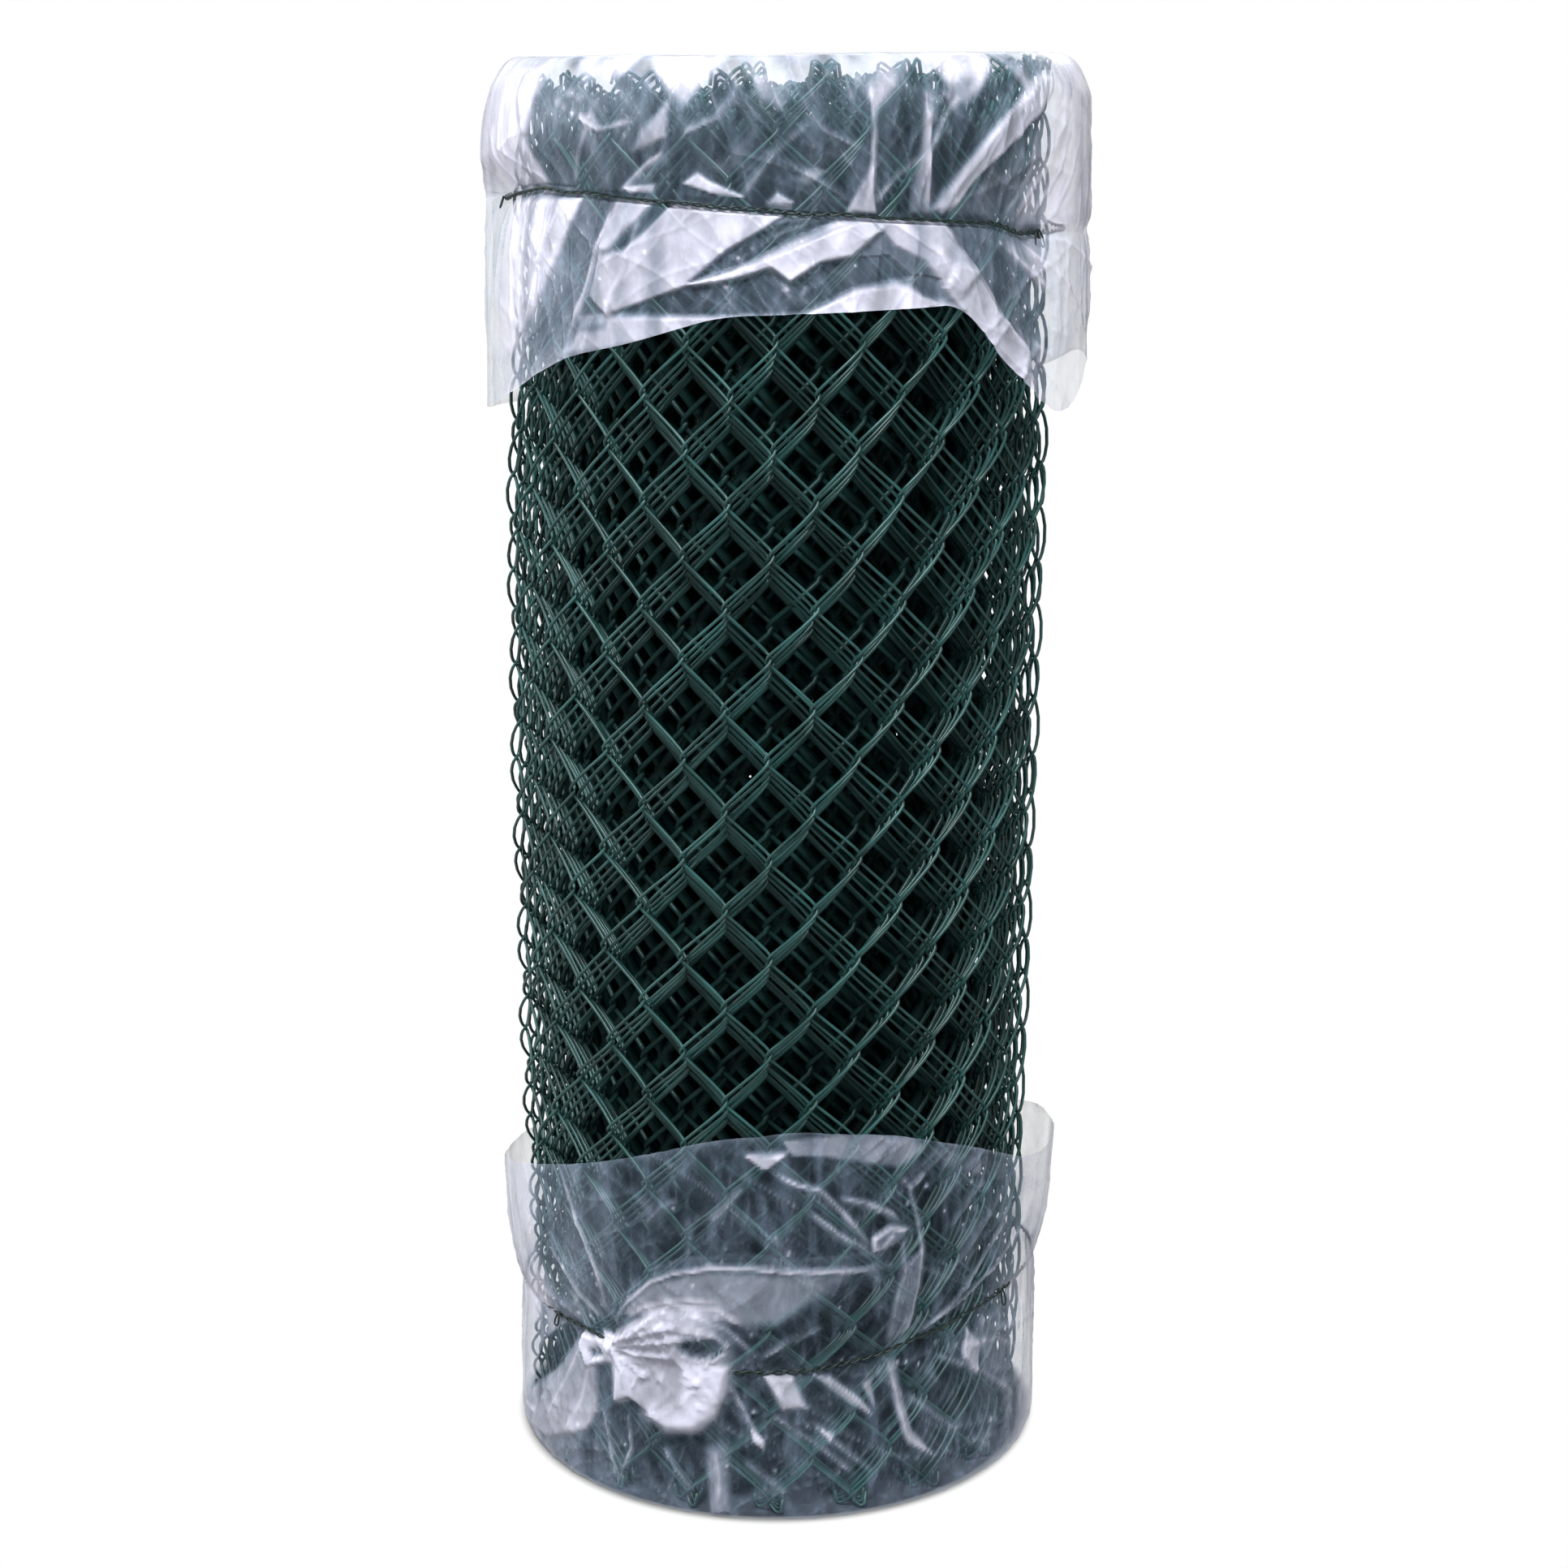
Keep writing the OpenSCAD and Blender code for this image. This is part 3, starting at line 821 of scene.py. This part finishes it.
# Bottom bag: its end lies under the roll, and its skirt stands up round the roll above the tie
low_z = low_tie_z(angles)
hem = around(
    [(-150, 242), (-120, 232), (-92, 242), (-69, 272), (-44, 305), (-28, 328), (-13, 350), (4, 360),
     (23, 351), (42, 324), (61, 288), (74, 278), (83, 280), (92, 272), (105, 268), (120, 250),
     (150, 246)]) / 1000
skirt = around(
    [(-90, 252), (-60, 247), (-20, 242), (20, 242), (55, 247), (90, 254), (110, 255), (180, 250)]) / 1000
clear = around(
    [(-90, 0.44), (-66, 0.42), (-56, 0.30), (-46, 0.14), (-35, 0.05), (34, 0.025), (48, 0.07), (58, 0.17),
     (66, 0.32), (90, 0.44), (125, 0.12), (180, 0.08), (235, 0.12)])
press = np.maximum(held(-58, 58, 16), held(114, 246, 14))
foot_r = around([(-90, 238.5), (0, 235.5), (90, 238.0), (180, 238)]) / 1000
# Radius of the film under the tie, height of the closed end, and height of the round corner
LOW_WAIST_R = 0.2318
UNDERSIDE = 0.0003
CORNER = 0.011
tie_r = LOW_WAIST_R * press + (1 - press) * 0.2355
edge_r = BOTTOM_R + 0.0025
rows = [(UNDERSIDE, edge_r * q, 0.06) for q in np.linspace(0.001, 1.0, END_ROWS - 1)]
for q in np.linspace(0.0, 1.0, 9)[1:]:
    a = q * np.pi / 2
    z = UNDERSIDE + CORNER * (1 - math.cos(a))
    rows.append((z, edge_r + (foot_r - edge_r) * math.sin(a), clear))
corner_z = 0.0113
for q in np.linspace(0.0, 1.0, 46)[1:]:
    rows.append((corner_z + (low_z - corner_z) * q, foot_r + (tie_r - foot_r) * ease(q), clear))
below = len(rows)
for q in np.linspace(0.0, 1.0, 80)[1:]:
    z = low_z + (hem - low_z) * q
    rows.append((z, tie_r + (skirt - tie_r) * (1 - np.exp(-(z - low_z) / 0.05)), clear))
low = Film(rows)
index = np.arange(len(rows))[:, None] * np.ones(COLUMNS)

# Above the tie
low.where = (index >= below) * 1.0
low.haze += low.where * 0.14 * np.exp(-(hem - low.z) / 0.003)
low.panels(
    (0.3, 3, 0, (1, 352), (15, 356), (28.5, 343), (31, 331), (24.5, 321), (16.5, 330), (9, 337), (3, 339)),
    (0.15, 5, 0, (31, 337), (54, 292), (53, 279), (37.5, 308), (31, 324)),
    (0.76, 1.5, 3, (-6.5, 339), (2, 341), (-2, 327), (-3, 327)),
    (0.15, 18, 0, (-58, 290), (-35.5, 312), (-35.5, 248), (-36, 172), (-49.5, 158), (-62, 190)),
)
low.haze += 0.30 * (1 - press) * np.exp(-np.abs(low.z - low_z) / 0.018)
low.streaks(63, 0.25)
low.pleats(22, low_z, 1, (40, 130), (2, 7), (5, 13), 0.12, (-44, 44), 0.2)
low.crinkle(51, 0.060, 0.0015, 0.022)
low.crinkle(52, 0.034, 0.0007, 0.010)
low.lines(
    (0.42, 3.6, (-1.5, 325), (4, 313), (8.5, 308), (13.5, 284), (20, 247)),
    (0.36, 3.6, (6, 290), (12, 268), (19.5, 245)),
    (0.42, 3.6, (12, 300), (18, 292), (23.5, 279), (26, 264)),
    (0.22, 4, (-6.5, 311), (-10.5, 289), (-14, 274)),
    (0.14, 4, (-27.5, 266), (-23.5, 286), (-19.5, 293)),
    (0.3, 3, (-50, 294), (-45.5, 258), (-40.5, 215), (-37.5, 167)),
    (0.24, 3, (-47, 263), (-42.5, 234), (-38.5, 190)),
    (0.26, 3, (-55.5, 216), (-46, 181), (-38, 158)),
    (0.34, 3.4, (30, 157), (41, 180), (50.5, 223), (56, 244)),
    (0.36, 3.4, (31.5, 161), (43, 178), (55, 203), (62, 227)),
    (0.16, 4, (37, 251), (42.5, 275), (47, 291)),
    (0.16, 4, (33.5, 196), (43, 227), (51.5, 264)),
)
low.panel(0.22, 2, 2, (26.5, 229), (30.5, 240), (30, 206), (28, 166), (23.5, 152), (25, 196))
low.lines(
    (0.36, 3, (24, 316), (27, 300), (29, 272), (30.5, 240), (30, 206), (28, 173), (26, 157)),
    (0.4, 3.6, (31, 311), (29, 303), (27, 297)),
    (0.26, 3, (26, 264), (26.5, 226), (25, 200), (23.5, 153)),
)
low.panel(0.22, 2, 3, (19.5, 246), (19.5, 259), (23, 267), (26.5, 263), (25.5, 253), (21.5, 246))
low.lines(
    (0.4, 2.5, (21.5, 246), (19.5, 250), (19.5, 259), (23, 267), (26.5, 263), (25.5, 253)),
    (0.3, 2.5, (21, 249), (24, 262)),
)
# The pouch of loose film that hangs over the tie, with a sharp upper edge
low.where = (index >= below) * ease((low.z - 0.142) / 0.04)
low.fold([(-37, 160), (-32, 190), (-26, 217), (-18, 233), (-8, 240), (7, 236), (19, 236), (27, 231)],
         6, 10, 80, 0.0, 0.03, start=0.05, end=0.12, narrow=0.85, sharp=1.2)
low.where = (index >= below) * 1.0
low.panels(
    (0.36, 6, 0, (-33, 179), (-26, 214), (-13.5, 234), (1.5, 234), (13, 229), (7.5, 210), (0, 187),
     (-6, 185), (-13.5, 189), (-23, 188)),
    (0.03, 6, 0, (9, 208), (24.5, 222), (23, 177), (11.5, 159), (1.5, 161)),
)
low.lines(
    (0.5, 2.8, (-36, 163), (-31.5, 191), (-26, 215), (-21, 227), (-13.5, 236), (-4.5, 238), (6, 235),
     (15, 233), (25, 230)),
    (0.36, 3, (-34.5, 160), (-25.5, 185), (-16.5, 191), (-10.5, 180), (-3, 148)),
    (0.3, 3, (-35, 162), (-28, 190), (-20, 203), (-10, 204)),
    (0.26, 3, (-34, 158), (-22, 196), (-12, 197), (-5, 176)),
    (0.26, 3, (-31.5, 175), (-21.5, 178), (-13.5, 177), (-9, 160)),
    (0.2, 4, (-25.5, 203), (-16.5, 191), (-6, 185)),
    (0.19, 4, (-4, 150), (2, 166), (10, 182)),
)

# Below the tie
low.where = (index >= END_ROWS) * (index < below) * 1.0
low.streaks(64, 0.25)
low.pleats(23, low_z, -1, (40, 105), (2, 6), (5, 12), 0.12, (-46, 50), 0.25)
low.crinkle(53, 0.060, 0.0015, 0.025)
low.crinkle(54, 0.034, 0.0007, 0.012)
low.panels(
    (0.34, 4, 0, (-82, 128), (-62, 122), (-70, 45), (-82, 20)),
    (0.04, 2.5, 0, (-70, 49), (-62, 112), (-52.5, 143), (-48, 135), (-55, 96)),
    (0.46, 5, 3, (-70, 14), (-48, 132), (-42.5, 115), (-41.5, 74), (-45, 52), (-60, 20)),
    (0.3, 4.5, 2, (-15, 64), (-10.5, 70), (-10, 8), (-14, 4)),
)
low.line(0.22, 3, (-13, 66), (-12, 36), (-12.5, 6))
low.panels(
    (0.02, 3, 0, (-9, 130), (-3.5, 128), (-0.5, 100), (-4, 86), (-7.5, 106)),
    (0.74, 1.5, 2, (-5.5, 85), (-2.5, 75), (-3, 68), (-5, 75)),
    (0.66, 3, 3, (-3, 136), (3, 136), (6, 106), (1, 105), (-1, 121)),
    (0.45, 2, 2, (7, 137), (11, 132), (17.5, 109), (20.5, 92), (16, 104)),
    (0.45, 2, 2, (18, 122), (20, 127), (21, 98)),
    (0.36, 2.5, 2, (23, 143), (25.5, 139), (27, 108), (29.5, 70), (35, 41), (28.5, 59), (25.5, 96)),
    (0.46, 2, 3, (44.5, 148), (49, 128), (47.5, 100), (43.5, 124)),
    (0.22, 5, 2, (49.5, 150), (68.5, 142), (68, 63), (58, 64), (50.5, 115)),
    (0.52, 1.5, 2, (9, 85), (12, 80), (11, 72)),
)
low.lines(
    (0.55, 2.5, (-78, 20), (-66, 32)),
    (0.22, 3, (-47, 128), (-52, 90), (-60, 34)),
    (0.18, 3, (-44, 118), (-46, 80), (-52, 34)),
    (0.3, 3, (-40.5, 80), (-38, 43), (-36, 14)),
    (0.3, 3, (-33.5, 84), (-32.5, 49), (-36, 14)),
    (0.2, 4, (-25, 61), (-21.5, 39), (-18, 20)),
    (0.36, 3, (-10.5, 129), (-7, 103), (-3, 70)),
    (0.3, 3, (24, 140), (26, 102), (28, 68), (34.5, 41)),
    (0.2, 3, (-1.5, 100), (8, 71), (17.5, 35)),
    (0.22, 3, (6.5, 94), (12, 71), (21, 36)),
    (0.16, 4, (27.5, 108), (35.5, 78), (43, 51)),
    (0.16, 4, (-7.5, 57), (-1.5, 37), (2.5, 23)),
    (0.22, 3, (34, 138), (50, 101), (65, 49)),
    (0.22, 3, (40, 138), (55, 124), (67, 95)),
    (0.16, 4, (52, 138), (70, 118), (84, 100)),
)
# The bunched neck of the bag, crumpled across the tie at the left
low.where = (index >= END_ROWS) * 1.0
low.panels(
    (0.6, 7, 9, (-35.5, 157), (-26, 185), (-16.5, 190), (-12, 178), (-10, 156), (-10, 125), (-13, 100),
     (-16.5, 83), (-23, 80), (-27.5, 90), (-32.5, 99), (-36, 92)),
    (0.92, 7, 4, (-19.5, 140), (-14, 147), (-10.5, 143), (-11, 119), (-13.5, 95), (-17.5, 80), (-24, 76),
     (-28.5, 88), (-20.5, 100)),
    (0.86, 5, 3, (-38.5, 138), (-34.5, 146), (-33, 119), (-34.5, 93), (-37, 92)),
    (0.56, 9, -2, (-32, 135), (-22, 145), (-20, 131), (-21, 101), (-27.5, 99), (-31.5, 114)),
    (0.05, 4, -4, (-20.5, 162), (-19, 169), (-16, 173), (-12.5, 170), (-10.5, 159), (-12.5, 154),
     (-16.5, 151), (-19.5, 155)),
    (0.72, 2, 5, (-47.5, 130), (-46.5, 141), (-41, 144), (-36, 146), (-37, 127), (-44.5, 114)),
    (0.12, 1.5, -4, (-44.5, 129), (-41, 135), (-39.5, 130), (-43.5, 121)),
    (0.92, 2, 4, (-40, 152), (-35.5, 152), (-35, 138), (-39, 138)),
)
# Folds that run out from its knot, and short creases in it
r = draws(93)
for d, z in ((-25, 184), (-17, 186), (-12, 174), (-20, 150), (-28, 120), (-33, 104)):
    gain = r.uniform(-0.2, 0.3)
    halfway = (d * 0.5 - 18 + r.uniform(-2, 2), z * 0.5 + 73 + r.uniform(-6, 6))
    low.fold([(-37, 146), halfway, (d, z)], r.uniform(2, 5), r.uniform(4, 8), r.uniform(4, 8),
             gain, -gain * 0.5, start=0.1, end=0.3, narrow=0.4)
for i in range(46):
    d, z = r.uniform(-36, -10), r.uniform(80, 186)
    turn, ln = r.uniform(0, np.pi), r.uniform(8, 26)
    dd, dz = math.degrees(ln * math.cos(turn) / 1000 / FILM_R), ln * math.sin(turn)
    gain = r.uniform(-0.26, 0.2)
    if ((d + 22) / 13) ** 2 + ((z - 132) / 52) ** 2 < 1:
        halfway = (d + dd / 2, z + dz / 2 + r.uniform(-4, 4))
        low.fold([(d, z), halfway, (d + dd, z + dz)], r.uniform(1, 4), r.uniform(2, 6), r.uniform(2, 6),
                 gain, -gain * 0.7, start=0.3, end=0.3, narrow=0.8)
# Painted highlights: small bright specks on the film
low.painted_glints(82, 46, 15, 320)
low.whiten()
low.where = (index < END_ROWS) * 0.5
low.crinkle(55, 0.20, 0.0, 0.10)
# The film never cuts into the roll, and it keeps close to its foot
least = roll_r(np.clip(low.z - FOOT, 0, FABRIC_H)) + FILM_OFF
low.r = np.where(index >= END_ROWS + 3, np.maximum(low.r, least), low.r)
low.r = np.where(low.z < 0.03, np.minimum(low.r, 0.246), low.r)
low_bag = low.make("bottom_film_bag")
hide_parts("bottom_bag")


# Ties: two thin wires twisted together round the bag, with a hooked end at each side of the front
STRAND_R = 0.00085
STRAND_SIDES = 6
TWISTS = 66
# How far the strands lie off their middle, how much looser they get, and their kinks
TWIST_R = 0.00088
TWIST_LOOSE = 0.0008
KINK = 0.0006


def wire_object(name, lines):
    """Round wires along some lines of points, as one piece."""
    verts, faces, base = [], [], 0
    for line in lines:
        line = np.asarray(line)
        out = line * (1, 1, 0)
        out = out / np.maximum(np.linalg.norm(out, axis=1, keepdims=True), 1e-9)
        v, f = tubes(line[None], out[None], STRAND_R, STRAND_SIDES)
        verts.append(v)
        faces.append(f + base)
        base += len(v)
    ob = new_mesh(name, np.concatenate(verts), np.concatenate(faces), tie_mat)
    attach(ob, "root")
    return ob


def strand(r, level, side, seed):
    """One of the two strands all round: they wind round each other, tightly here and loosely there."""
    a = np.radians(np.linspace(-180, 180, 660))
    w = waves(6, 2, 7, 60 + seed)
    kink = waves(6, 9, 26, 80 + seed)
    loose = TWIST_R + TWIST_LOOSE * ease(0.2 + 0.6 * w(np.cos(a), np.sin(a), 1.0))
    twist = TWISTS * a + side * np.pi + 1.2 * w(np.cos(a), np.sin(a))
    z = level(a) + loose * np.sin(twist) + KINK * kink(np.cos(a), np.sin(a))
    rr = r + loose * (np.cos(twist) + 0.4)
    return np.stack([rr * np.sin(a) + film_shift(z), -rr * np.cos(a), z], axis=-1)


def hook(r, level, at, width, tall, out):
    """The end of the wire: a drop-shaped loop hanging from the ring, at an angle in degrees."""
    a0 = math.radians(at)
    q = np.linspace(0, 1.85 * np.pi, 25)
    s = width / 2 * np.sin(q) * (0.35 + 0.65 * (1 - np.cos(q)) / 2)
    d = -tall * (1 - np.cos(q)) / 2
    a = a0 + s / r
    rr = r + 0.0026 + out * (1 - np.cos(q)) / 2
    z = float(level(a0)) + d + 0.0012
    return np.stack([rr * np.sin(a) + film_shift(z), -rr * np.cos(a), z], axis=-1)


top_tie = wire_object("top_tie_wire", [
    strand(TOP_RING, top_tie_z, 0, 1),
    strand(TOP_RING, top_tie_z, 1, 1),
    hook(TOP_RING, top_tie_z, 58.5, 0.0090, 0.0165, 0.002),
    hook(TOP_RING, top_tie_z, 60.0, 0.0080, 0.0130, 0.004),
    hook(TOP_RING, top_tie_z, -82, 0.0080, 0.0090, 0.003),
])
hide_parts("top_tie")
low_tie = wire_object("bottom_tie_wire", [
    strand(LOW_RING, low_tie_z, 0, 3),
    strand(LOW_RING, low_tie_z, 1, 3),
    hook(LOW_RING, low_tie_z, 57, 0.0085, 0.0150, 0.003),
    hook(LOW_RING, low_tie_z, -55, 0.0080, 0.0110, 0.003),
])
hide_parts("bottom_tie")


# Floor, light and camera
def floor_look():
    """A white floor that shows a soft shadow only close to the roll, and a near-black painted shadow in its
    colour under the roll itself.
    """
    mat, nodes, bsdf = material("floor")
    co = nodes.add("TexCoord", "Object")
    far = nodes.add("VectorMath", "Value", co, operation="LENGTH")
    # Painted shadow: the floor's colour is near black under the roll, and lightens out to the edge of the
    # real shadow
    under = nodes.ramp(far, (PAINTED_SHADOW_R, (0.016, 0.019, 0.026)), (SHADOW_R, (0.34, 0.34, 0.34)))
    nodes.feed(bsdf, Base_Color=under, Roughness=0.9)
    span = nodes.add("MapRange", "Result", far, From_Min=SHADOW_R, From_Max=WHITE_R)
    span.node.interpolation_type = "SMOOTHSTEP"
    seen = nodes.add("LightPath", "Is Camera Ray")
    share = nodes.add("Math", "Value", seen, span, operation="MULTIPLY")
    glow = nodes.add("Emission", "Emission", Strength=1.0)
    mix = nodes.add("MixShader", "Shader", share, bsdf.outputs["BSDF"], glow)
    nodes.feed(nodes.tree.nodes["Material Output"], Surface=mix)
    return mat


# Distances from the roll's middle at which the floor's colour is painted dark as shadow, at which that
# painted shadow ends and the real shadow shows, and at which the floor is white
PAINTED_SHADOW_R = 0.2275
SHADOW_R = 0.2315
WHITE_R = 0.2425
bpy.ops.mesh.primitive_plane_add(size=60, location=(0, 0, -0.0002))
floor = bpy.context.object
floor.name = "floor"
floor.data.materials.append(floor_look())

# The world is white to the camera, and lights the roll less brightly
WORLD_LIGHT = 0.40
world = bpy.data.worlds.new("studio")
bpy.context.scene.world = world
sky = Nodes(world)
path = sky.add("LightPath", "Is Camera Ray").node.outputs
seen = sky.add("Math", "Value", path["Is Camera Ray"], path["Is Transmission Ray"], operation="MAXIMUM")
level = sky.add("MapRange", "Result", seen, To_Min=WORLD_LIGHT, To_Max=1.0)
sky.feed(sky.tree.nodes["Background"], Color=(1, 1, 1, 1), Strength=level)


def area_light(name, place, aim, size, power):
    """A rectangular lamp at a place, aimed at a point, with its size in metres and its power in watts."""
    light = bpy.data.lights.new(name, "AREA")
    light.shape = "RECTANGLE"
    light.size, light.size_y = size
    light.energy = power
    ob = bpy.data.objects.new(name, light)
    bpy.context.scene.collection.objects.link(ob)
    ob.location = place
    way = Vector(aim) - Vector(place)
    ob.rotation_euler = way.to_track_quat("-Z", "Y").to_euler()


area_light("key_light", (-0.4, -2.1, 3.3), (0, 0, 0.6), (1.2, 1.2), 126)
area_light("left_light", (-2.3, 0.1, 1.3), (0, 0, 0.7), (0.8, 1.8), 22)
area_light("fill_light", (2.3, -1.7, 1.7), (0, 0, 0.6), (0.8, 1.8), 8)
area_light("rim_light", (0.6, 2.2, 2.4), (0, 0, 0.8), (1.6, 1.0), 16)

# The camera stands where the photograph was taken from, and looks down a little
CAMERA_AT = (0.0076, -2.439, 1.221)
CAMERA_DOWN = 14.4
scene = bpy.context.scene
cam_data = bpy.data.cameras.new("camera")
cam = bpy.data.objects.new("camera", cam_data)
scene.collection.objects.link(cam)
cam_data.lens = 65.0
cam_data.sensor_width = 36.0
cam.location = CAMERA_AT
cam.rotation_euler = (math.radians(90 - CAMERA_DOWN), 0, 0)
scene.camera = cam
scene.view_settings.view_transform = "Standard"
# Enough steps for light to pass all the layers of film
scene.cycles.transparent_max_bounces = 24
scene.cycles.max_bounces = 10
